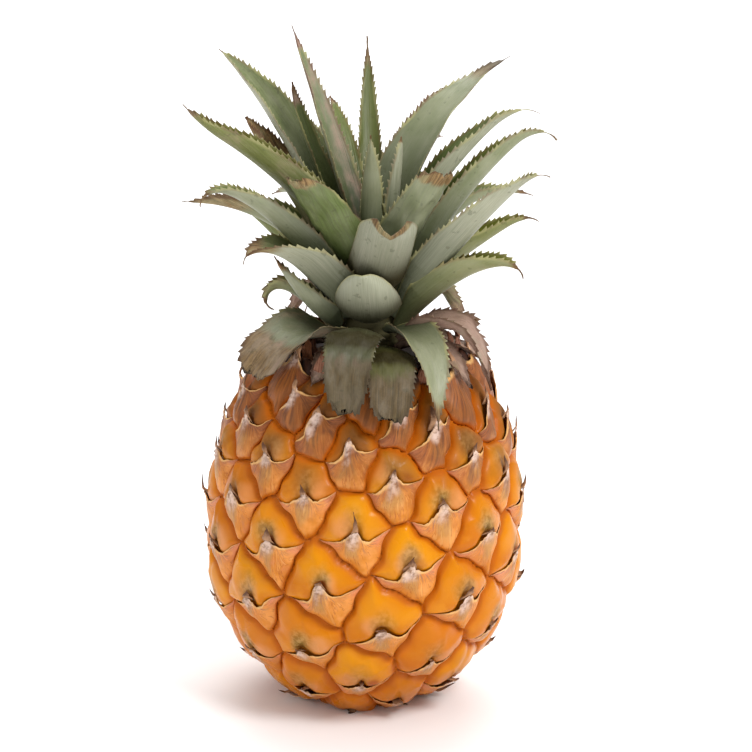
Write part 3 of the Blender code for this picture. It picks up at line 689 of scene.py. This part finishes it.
stem_up = np.linspace(0.0, 1.0, 60)[:, None]
stem_level = 100.95 + 34.9 * stem_up
stem_reach = np.interp(stem_level, [100, 104, 130, 136], [8.4, 8.2, 4.8, 2.8])
stem_reach = stem_reach - 0.2 * np.abs(np.sin(stem_up * 40))
stem_reach = stem_reach * np.minimum(1.0, 0.3 + (1 - stem_up) * 20)
add_piece("crown_core", ring(stem_reach, disc_turn, stem_level), tube_faces(60, 96),
          crown_stem_finish(), {}, node="crown_stem")

# The collar.  The oldest leaves, at the foot of the crown, have dried and droop over the
# shoulder: papery, mauve and brown below, with torn margins and short hooked teeth.

STEM_GAP = 1.6
COLUMNS = 19
TOOTH_PITCH, TOOTH_HEIGHT = 2.0, 0.85


def leaf_width(share, half, broken, rounded, hair):
    """Half width: a narrow foot, a broad sheath, then a long taper, a torn or a round end.

    The taper is one less a power of the share of the way; it ends sooner before a hair.
    """
    if rounded:
        taper = np.sqrt(np.maximum(1 - 0.999 * np.maximum((share - 0.4) / 0.6, 0.0) ** 2, 0.0))
    elif broken:
        taper = 1 - broken * np.maximum((share - 0.1) / 0.9, 0.0) ** 1.5
    else:
        taper = 1 - np.clip((share - 0.15) / (0.77 if hair else 0.82), 0.0, 1.0) ** 1.8
    return np.maximum(half * taper * (0.4 + 0.6 * np.minimum(share / 0.22, 1.0)), 0.22)


def leaf_midline(share, turn, foot, crook, tip, curl, sweep, hair):
    """Quadratic curve from the stem over the crook to the tip, turned on past three quarters.

    The curve lies in the upright plane of its turn; the sweep pushes it sideways with the
    square of the way along, and the last eighth turns on by the hair's degrees.
    """
    start = np.array([np.interp(foot, [100, 104, 130, 136], [9.5, 8.5, 5.0, 3.0]) + STEM_GAP, foot])
    s = share[:, None]
    flat = (1 - s) ** 2 * start + 2 * s * (1 - s) * np.array(crook) + s ** 2 * np.array(tip)
    out, up = np.diff(flat, axis=0).T
    half_way = 0.5 * (share[1:] + share[:-1])
    over = math.radians(curl) * np.maximum((half_way - 0.75) / 0.25, 0.0)
    over = over + math.radians(hair) * np.maximum((half_way - 0.87) / 0.13, 0.0)
    step = np.stack([out * np.cos(over) + up * np.sin(over), up * np.cos(over) - out * np.sin(over)])
    flat = np.concatenate([flat[:1], flat[0] + np.cumsum(step.T, axis=0)])
    turn = math.radians(turn)
    aside = np.array([-math.sin(turn), math.cos(turn), 0.0])
    return ring(flat[:, 0], turn, flat[:, 1]) + sweep * s ** 2 * aside, aside


def leaf(name, finish, turn, foot, crook, tip, half, cup=(70, 40), broken=0.0, curl=0.0, sweep=0.0,
         notch=0.0, rounded=False, teeth=1.0, ripple=0.35, ragged=0.0, dry=0.0, tip_dry=0.12, bloom=0.5,
         warm=0.3, mauve=0.0, shade=(0.0, 0.5, 0.1), painted_shade=0.0):
    """One toothed leaf: an arc section carried along the midline and closed into a thin blade.

    It grows from the stem at its turn in degrees and at the height of its foot, and its crook
    and tip are given as reach and height.  Across the blade a point lies at
    width * sin(bend * p) / bend sideways and at width * (1 - cos(bend * p)) / bend inward; the
    cup is that bend in degrees at the foot and at the tip.  Thickness falls off as 1 - p
    squared, ripples grow toward the margins, and the teeth are a saw wave of the length added
    to the width.  The shade is painted shade, a dark band given by its depth, place and width
    along the leaf, and the even darkening is more painted shade over the whole blade.
    """
    seed = (sum(ord(letter) * (place + 3) for place, letter in enumerate(name)) * 0.6180339) % 1.0
    hair = 40.0 if curl > 0 and not broken else 0.0
    course = (turn, foot, crook, tip, curl, sweep, hair)
    rough_line = leaf_midline(np.linspace(0, 1, 60), *course)[0]
    length = np.linalg.norm(np.diff(rough_line, axis=0), axis=1).sum()
    rows = int(length / 0.42) + 8
    share = np.linspace(0.0, 1.0 if rounded else 0.994, rows)
    line, aside = leaf_midline(share, *course)
    ahead = np.gradient(line, axis=0)
    ahead = ahead / np.linalg.norm(ahead, axis=1, keepdims=True)
    across = aside - (ahead @ aside)[:, None] * ahead
    across = across / np.linalg.norm(across, axis=1, keepdims=True)
    inward = np.cross(ahead, across)

    # Teeth stand only on the outermost column of each margin.
    width = leaf_width(share, half, broken, rounded, hair)
    if broken:
        width = width * np.sqrt(1 - 0.8 * np.maximum((share - 0.86) / 0.14, 0.0) ** 2)
    run = share * length
    beat = run / TOOTH_PITCH + 0.15 * np.sin(run * 0.9 + seed * 9)
    saw = np.stack([(beat + seed) % 1.0, (beat + 0.37 + seed) % 1.0], axis=1) ** 1.7
    grown = teeth * TOOTH_HEIGHT * np.minimum(width / 1.6, 1.0) * smooth_step(share, 0.06, 0.2)
    tooth = np.zeros((rows, COLUMNS))
    tooth[:, [0, -1]] = grown[:, None] * saw

    # The section: s is the way along, w the half width, b the bend and p the place across.
    s, w, run = share[:, None], width[:, None], run[:, None]
    b = np.radians(cup[0] + (cup[1] - cup[0]) * s) + 1e-5
    p = np.concatenate([[-1.0], np.linspace(-1.0, 1.0, COLUMNS - 2) * 0.995, [1.0]])[None, :]
    far = np.abs(p)
    out = w * np.sin(b * p) / b + np.sign(p) * tooth * np.cos(b * p)
    wave = wobble(run * 0.7, p * 3.0, seed, 13.0) * ripple * far ** 2 * smooth_step(s, 0.1, 0.4)
    fold = wobble(run * 0.5, p * w, seed + 5.0, 4.6) * ragged * 0.55 * smooth_step(s, 0.1, 0.5)
    up = w * (1 - np.cos(b * p)) / b + tooth * np.sin(b * far) + wave + fold
    worn = ragged * smooth_step(s, 0.75, 1.0) * (wobble(p * 9.0, s, seed, 3.1) - 0.6) * 1.4
    nick = notch * np.maximum(1 - far, 0) * smooth_step(s, 0.86, 1.0)
    forward = tooth * 0.9 + worn * (1 - 0.2 * far) - nick
    line, across, ahead, inward = [axis[:, None, :] for axis in (line, across, ahead, inward)]
    middle = line + out[..., None] * across + forward[..., None] * ahead + up[..., None] * inward
    normal = inward * np.cos(b * p)[..., None] - across * np.sin(b * p)[..., None]
    thick = 0.16 + 0.9 * (0.45 + 0.55 * np.minimum(1.0, w / half)) * (1 - far ** 2)
    offset = 0.5 * (thick * np.minimum(1.0, w / 0.8))[..., None] * normal
    points = np.concatenate([middle + offset, (middle - offset)[:, ::-1]], axis=1)

    spread = np.concatenate([p * w, (p * w)[:, ::-1]], axis=1)
    whole = np.ones((rows, 2 * COLUMNS))
    # The darkening field is painted shade: the shade band plus the even darkening.
    fields = {"spread": spread, "run": run, "share": s, "margin": w - np.abs(spread),
              "upper": np.repeat([[1.0, 0.0]], COLUMNS, axis=1), "seed": seed,
              "dry": np.clip(dry + smooth_step(s, 1 - 1.6 * tip_dry, 1.001 - 0.4 * tip_dry), 0.0, 1.0),
              "bloom": bloom, "warm": warm, "mauve": mauve,
              "painted_shade": shade[0] * np.exp(-((s - shade[1]) / shade[2]) ** 2) + painted_shade}
    add_piece(name.replace("leaf", "blade"), points, tube_faces(rows, 2 * COLUMNS), finish,
              {field: value * whole for field, value in fields.items()}, node=name)


def leaf_finish(name):
    """Green above and waxy grey below, striped along the blade, drying to brown and mauve.

    Stripes are noise drawn out along the leaf, and each layer's share is a smooth step.
    """
    skin = Finish(name, 0.5, coat=0.06, coat_roughness=0.35, specular=0.4)
    spread, run, share, margin, upper, dry, bloom, warm, mauve, painted_shade, seed = skin.fields(
        "spread", "run", "share", "margin", "upper", "dry", "bloom", "warm", "mauve", "painted_shade", "seed")
    stripe = skin.noise(1.0, 3.0, skin.spot(spread * 2.6, run * 0.05, seed * 50.0))
    fine = skin.noise(1.0, 3.0, skin.spot(spread * 7.0, run * 0.16, seed * 50.0 + 9.0))
    blot = skin.noise(1.0, 4.0, skin.spot(spread * 0.22, run * 0.12, seed * 70.0))
    patch = blot - 0.5
    green = skin.mix(stripe.ramp(0.3, 0.7), (82, 104, 46), (46, 68, 22))
    green = skin.mix(warm * (0.4 + blot), green, (122, 122, 38))
    wax = (bloom * (1 - 0.7 * upper) + patch * 0.5 + (fine - 0.5) * 0.35).ramp(0.1, 1.0)
    green = skin.mix(wax * 0.9, green, skin.mix(fine, (196, 193, 172), (124, 131, 104)))
    # Painted shade: the blade darkens towards its foot, where the other leaves shade it.
    base = 1 - (share + (stripe - 0.5) * 0.2).ramp(0.12, 0.62)
    green = skin.mix(base * 0.75, green, (48, 56, 26))
    rim = 1 - (margin + patch).ramp(0.0, 0.7)
    green = skin.mix(rim * 0.6, green, skin.mix(blot.ramp(0.4, 0.6), (166, 160, 106), (112, 86, 50)))
    husk = skin.mix(stripe.ramp(0.3, 0.7), (150, 120, 76), (92, 68, 38))
    husk = skin.mix(blot.ramp(0.45, 0.65) * 0.7, husk, (128, 128, 92))
    husk = skin.mix((fine + blot).ramp(1.05, 1.3) * 0.6, husk, (200, 172, 124))
    plum = skin.mix(fine, (186, 156, 138), (132, 104, 90))
    husk = skin.mix((mauve + patch * 1.3).ramp(0.15, 0.8), husk, plum)
    scorch = 1 - (margin + (fine - 0.5) * 1.2).ramp(0.0, 0.9)
    husk = skin.mix(scorch * 0.7, husk, (84, 52, 30))
    aged = (dry + patch * 1.1 + (stripe - 0.5) * 0.3 - 0.02 * margin).ramp(0.26, 0.76)
    speck = skin.noise(420.0, 2.0).ramp(0.64, 0.7)
    colour = skin.mix(speck * 0.35, skin.mix(aged, green, husk), (70, 72, 44))
    rough = 0.42 + aged * 0.25 + (1 - upper) * 0.08
    fibres = stripe * 0.7 + fine * 0.3 + skin.noise(1100.0) * aged
    # Painted shade: the darkening field mixes the blade towards a dark olive.
    return skin.finish(skin.mix(painted_shade, colour, (52, 46, 22)), rough, fibres, bump=0.5, distance=0.0004)


dried = leaf_finish("leaf_dry")
green = leaf_finish("leaf_green")
# The shade and darkening values in the calls below are painted shade on the blades.
leaf("collar_leaf_1", dried, turn=175, foot=105, crook=(28, 127), tip=(31, 110), half=6, cup=(100, 80),
     curl=50, ripple=0.5, dry=0.45, warm=0.8, mauve=0.1)
leaf("collar_leaf_2", dried, turn=-145, foot=104, crook=(27, 114), tip=(38, 97), half=13, cup=(50, 20),
     broken=0.35, ripple=1.2, ragged=1, dry=0.4, tip_dry=0.3, bloom=2.2, mauve=0.35, painted_shade=0.32)
leaf("collar_leaf_3", dried, turn=-100, foot=107, crook=(35, 121), tip=(40, 92), half=7.6,
     cup=(-45, 45), broken=0.3, sweep=1, ripple=0.6, ragged=1, dry=0.3, tip_dry=0.25, bloom=1.8,
     warm=0.2, mauve=0.3, shade=(0.5, 0.47, 0.09), painted_shade=0.75)
leaf("collar_leaf_4", dried, turn=-78.5, foot=104, crook=(35, 112), tip=(42, 91), half=7.4,
     cup=(-40, 35), broken=0.3, sweep=-3, ripple=0.6, ragged=0.8, dry=0.25, tip_dry=0.3, bloom=1,
     warm=1, mauve=0.35, shade=(0.5, 0.44, 0.09), painted_shade=0.7)
leaf("collar_leaf_5", green, turn=-56.5, foot=108, crook=(33, 116), tip=(42, 88), half=7.4,
     cup=(60, 25), sweep=-5, ripple=0.5, ragged=0.4, dry=0.08, bloom=2.2, warm=0.5, painted_shade=0.1)
leaf("collar_leaf_6", dried, turn=-28, foot=105, crook=(31, 121), tip=(38, 94), half=7.5, cup=(75, 50),
     ripple=0.7, ragged=1, dry=0.8, bloom=3, warm=0.9, mauve=1)
leaf("collar_leaf_7", dried, turn=0, foot=104, crook=(28, 112), tip=(29, 108), half=5, cup=(100, 80),
     broken=0.4, sweep=-2, ripple=0.6, ragged=1, dry=0.8, bloom=3, mauve=0.4)
leaf("collar_leaf_8", dried, turn=49, foot=104, crook=(26, 130), tip=(40, 98), half=7, cup=(100, 80),
     sweep=-2, ripple=0.7, ragged=0.6, dry=0.6, mauve=0.4)
leaf("collar_leaf_9", dried, turn=85, foot=103, crook=(31, 143), tip=(52, 102), half=8, ripple=0.6,
     ragged=0.5, dry=0.5, mauve=0.3)
leaf("collar_leaf_10", dried, turn=112, foot=110, crook=(27, 141), tip=(50, 100), half=7.5,
     cup=(75, 30), sweep=1, ripple=0.6, ragged=0.5, dry=0.55, mauve=0.4)
leaf("collar_leaf_11", dried, turn=138, foot=103, crook=(24, 128), tip=(38, 96), half=6, cup=(110, 70),
     sweep=-6, ripple=0.7, ragged=0.6, dry=0.6, mauve=0.5)
leaf("collar_leaf_12", dried, turn=-118, foot=103, crook=(24, 104), tip=(34, 97), half=5.5,
     cup=(60, 30), teeth=0.5, ripple=0.8, ragged=1, dry=0.9, bloom=3, mauve=0.8)
leaf("collar_leaf_13", dried, turn=-38, foot=103, crook=(24, 110), tip=(36, 96), half=6, cup=(60, 30),
     teeth=0.5, ripple=0.8, ragged=1, dry=0.9, bloom=3, mauve=0.7)
leaf("collar_leaf_14", dried, turn=-167, foot=103, crook=(21, 106), tip=(34, 97), half=5.5,
     cup=(50, 25), sweep=1, teeth=0.5, ripple=0.8, ragged=1, dry=0.9, bloom=3, mauve=0.8)
leaf("collar_leaf_15", dried, turn=-3, foot=103, crook=(22, 107), tip=(34, 98), half=5.5, cup=(60, 30),
     teeth=0.5, ripple=0.8, ragged=1, dry=0.9, bloom=3, mauve=0.6)

# The lower ring.  Firm outer leaves spread from the stem under the long ones: waxy grey-green
# below, with dry brown tips, hooked teeth and yellowish bases that clasp the stem.

leaf("lower_leaf_1", green, turn=162, foot=116, crook=(28, 142), tip=(57, 138), half=10, cup=(95, 90),
     sweep=1, dry=0.1, tip_dry=0.35, warm=0.5, mauve=0.1)
leaf("lower_leaf_2", green, turn=153, foot=109, crook=(29, 132), tip=(47, 139), half=7.2, cup=(100, 85),
     sweep=-1, tip_dry=0.1, bloom=0.3, warm=0.6)
leaf("lower_leaf_3", green, turn=-150, foot=111, crook=(28, 137), tip=(41, 130), half=14, cup=(75, 40),
     curl=30, sweep=-2, ripple=0.6, dry=0.08, tip_dry=0.3, bloom=1.4, warm=0.5)
leaf("lower_leaf_4", green, turn=-159, foot=108, crook=(19, 112), tip=(29, 129), half=8, cup=(105, 85),
     dry=0.1, bloom=0.7)
leaf("lower_leaf_5", green, turn=-23, foot=108, crook=(30, 133), tip=(46, 129), half=10, cup=(100, 80),
     curl=30, tip_dry=0.15, warm=0.9)
leaf("lower_leaf_6", green, turn=10, foot=114, crook=(29, 132), tip=(45, 142), half=8.5, cup=(115, 100),
     curl=30, sweep=-6, bloom=0.4, warm=0.8)
leaf("lower_leaf_7", green, turn=-29, foot=111, crook=(36, 147), tip=(52, 159), half=10.2,
     cup=(110, 55), curl=20, tip_dry=0.1, bloom=1.15)
leaf("lower_leaf_8", green, turn=-94, foot=111, crook=(17, 112), tip=(24, 127), half=11, cup=(55, 70),
     sweep=-1, rounded=True, teeth=0.1, ripple=0.1, tip_dry=0, bloom=1, warm=0.15,
     shade=(0.75, 0.34, 0.32))
leaf("lower_leaf_9", green, turn=62, foot=110, crook=(30, 154), tip=(62, 130), half=8, warm=0.4)
leaf("lower_leaf_10", green, turn=94, foot=115, crook=(27, 154), tip=(76, 131), half=8, sweep=-2)
leaf("lower_leaf_11", green, turn=124, foot=114, crook=(28, 147), tip=(62, 134), half=6, cup=(105, 70),
     sweep=-5, warm=0.5)

# The middle ring.  The long leaves rise from the stem and arch out, stiff and channelled,
# green above with a pale bloom below; their tips thin to a dry hair that curls over.

leaf("middle_leaf_1", green, turn=190, foot=127, crook=(28, 155), tip=(56, 168), half=11.5,
     cup=(120, 100), curl=-25, sweep=5, dry=0.3, tip_dry=0.06, bloom=0.3, warm=0.7, mauve=0.25,
     painted_shade=0.15)
leaf("middle_leaf_2", green, turn=206, foot=114, crook=(34, 150), tip=(53, 149), half=9.5, cup=(90, 60),
     curl=60, sweep=-3, bloom=0.65)
leaf("middle_leaf_3", dried, turn=152, foot=120, crook=(37, 155), tip=(40, 163), half=9, cup=(95, 95),
     sweep=3, ripple=0.8, dry=0.45, tip_dry=0.4, warm=0.9, mauve=0.1)
leaf("middle_leaf_4", green, turn=5, foot=117, crook=(28, 155), tip=(50, 167), half=10, cup=(95, 100),
     curl=50, sweep=5, tip_dry=0.06, bloom=0.55, warm=0.4)
leaf("middle_leaf_5", green, turn=-84, foot=118, crook=(17, 123), tip=(30, 142), half=11, cup=(70, 65),
     broken=0.12, sweep=2, notch=4, teeth=0.1, ripple=0.2, ragged=0.1, tip_dry=0.03, bloom=1, warm=0.15,
     shade=(0.8, 0.34, 0.3), painted_shade=0.22)
leaf("middle_leaf_6", green, turn=35, foot=113, crook=(26, 150), tip=(56, 140), half=7, cup=(110, 85),
     warm=0.4)
leaf("middle_leaf_7", green, turn=74, foot=119, crook=(25, 159), tip=(62, 152), half=6.8, cup=(60, 45),
     sweep=-3, warm=0.5)
leaf("middle_leaf_8", green, turn=114, foot=120, crook=(26, 156), tip=(59, 157), half=6.3, cup=(80, 45))

# The upper ring.  Tall leaves stand up round the heart of the crown, fleshy at the foot and
# thin at the toothed margins; two of them were torn off short and are frayed brown there.

leaf("upper_leaf_1", green, turn=144, foot=125, crook=(32, 165), tip=(55, 180), half=11, cup=(80, 55),
     sweep=2, tip_dry=0.04, bloom=1.3, warm=0.35)
leaf("upper_leaf_2", green, turn=-128, foot=121, crook=(21, 139), tip=(34, 153), half=12.5,
     cup=(75, 55), broken=0.5, sweep=-1, teeth=0.2, ragged=0.9, tip_dry=0.08, bloom=0.3, warm=0.25)
leaf("upper_leaf_3", green, turn=-52, foot=124, crook=(15, 136), tip=(29, 155), half=10.5, cup=(90, 65),
     broken=0.35, sweep=2, ragged=1, tip_dry=0.1, bloom=0.6, warm=0.35)
leaf("upper_leaf_4", green, turn=5, foot=127, crook=(19, 156), tip=(42, 175), half=9.5, cup=(100, 80),
     curl=30, sweep=-8, tip_dry=0.06, bloom=0.8)
leaf("upper_leaf_5", green, turn=37, foot=133, crook=(14, 169), tip=(45, 181), half=10.5, cup=(55, 20),
     sweep=-2, ripple=0.6, tip_dry=0.2, bloom=1.9, mauve=0.2, shade=(0.7, 0.93, 0.11))
leaf("upper_leaf_6", green, turn=60, foot=125, crook=(15, 162), tip=(41, 170), half=7, sweep=2,
     ripple=0.8, dry=0.25, tip_dry=0.5, bloom=0.2, warm=0.5)
leaf("upper_leaf_7", green, turn=95, foot=126, crook=(19, 151), tip=(40, 184), half=4.7, bloom=0.3,
     warm=0.4, painted_shade=0.3)

# The heart.  The youngest leaves stand upright at the top of the stem, narrow and soft, with
# the thickest coat of pale wax and closely set small teeth.

leaf("heart_leaf_1", green, turn=143, foot=133, crook=(17, 161), tip=(30, 189), half=5.5, sweep=1,
     dry=0.45, tip_dry=0.1, bloom=1.6, warm=0.2, mauve=1.2)
leaf("heart_leaf_2", green, turn=145, foot=129, crook=(29, 165), tip=(30, 173), half=4, sweep=-1,
     tip_dry=0.25, bloom=0.6, mauve=0.4)
leaf("heart_leaf_3", green, turn=117, foot=131, crook=(20, 162), tip=(30, 168), half=3.8, bloom=0.7,
     warm=0.4)
leaf("heart_leaf_4", green, turn=-100, foot=133, crook=(4, 148), tip=(9, 163), half=4, tip_dry=0.05,
     bloom=0.7, warm=0.6)
leaf("heart_leaf_5", green, turn=-30, foot=132, crook=(8, 156), tip=(8, 162), half=3.5, bloom=1,
     warm=0.4)

# The set.  A pale matt table that runs back into the white, soft lights on both sides and the
# front, and a camera at the height that the photo was taken from, looking a little down.


def panel(name, power, size, place, aim):
    """Square soft light that faces a point."""
    light = bpy.data.lights.new(name, "AREA")
    light.energy = power
    light.size = size
    made = add_object(name, light)
    made.location = place
    made.rotation_euler = (Vector(aim) - Vector(place)).to_track_quat("-Z", "Y").to_euler()


floor_mesh = bpy.data.meshes.new("table")
floor_mesh.from_pydata([(-6, -6, 0), (6, -6, 0), (6, 6, 0), (-6, 6, 0)], [], [(0, 1, 2, 3)])
table = Finish("table", 0.8)
table.inputs["Base Color"].default_value = (0.93, 0.92, 0.92, 1.0)
floor_mesh.materials.append(table.made)
add_object("table", floor_mesh)

world = bpy.data.worlds.new("studio")
world.use_nodes = True
sky = world.node_tree.nodes["Background"].inputs
sky["Color"].default_value = (1.0, 1.0, 1.0, 1.0)
sky["Strength"].default_value = 0.66
bpy.context.scene.world = world
panel("key", 7.0, 0.35, (0.5, -0.5, 0.8), (0, 0, 0.09))
panel("fill", 1.2, 0.7, (-0.8, -0.5, 0.5), (0, 0, 0.09))
panel("top", 2.0, 0.6, (-0.1, 0.3, 0.95), (0, 0, 0.1))
panel("backdrop", 30.0, 1.6, (0, 1.4, 1.6), (0, 1.3, 0))
bpy.context.scene.view_settings.view_transform = "Standard"

LENS_PIXELS = 2625.0
PICTURE = 752
RISE = math.radians(18.0)
RANGE = 0.75
ROLL = math.radians(1.7)
back = Vector((0.0, -math.cos(RISE), math.sin(RISE)))
right = Vector((1.0, 0.0, 0.0))
aim = Matrix((right, back.cross(right), back)).transposed()
pitch = math.atan((541.5 - PICTURE / 2) / LENS_PIXELS)
yaw = math.atan((364.2 - PICTURE / 2) / LENS_PIXELS)
for angle, axis in ((ROLL, "Z"), (yaw, "Y"), (pitch, "X")):
    aim = aim @ Matrix.Rotation(angle, 3, axis)
camera_data = bpy.data.cameras.new("camera")
camera_data.lens = LENS_PIXELS / PICTURE * camera_data.sensor_width
camera = add_object("camera", camera_data)
camera.matrix_world = Matrix.Translation(Vector((0.0, 0.0, EQUATOR * MM)) + RANGE * back) @ aim.to_4x4()
bpy.context.scene.camera = camera
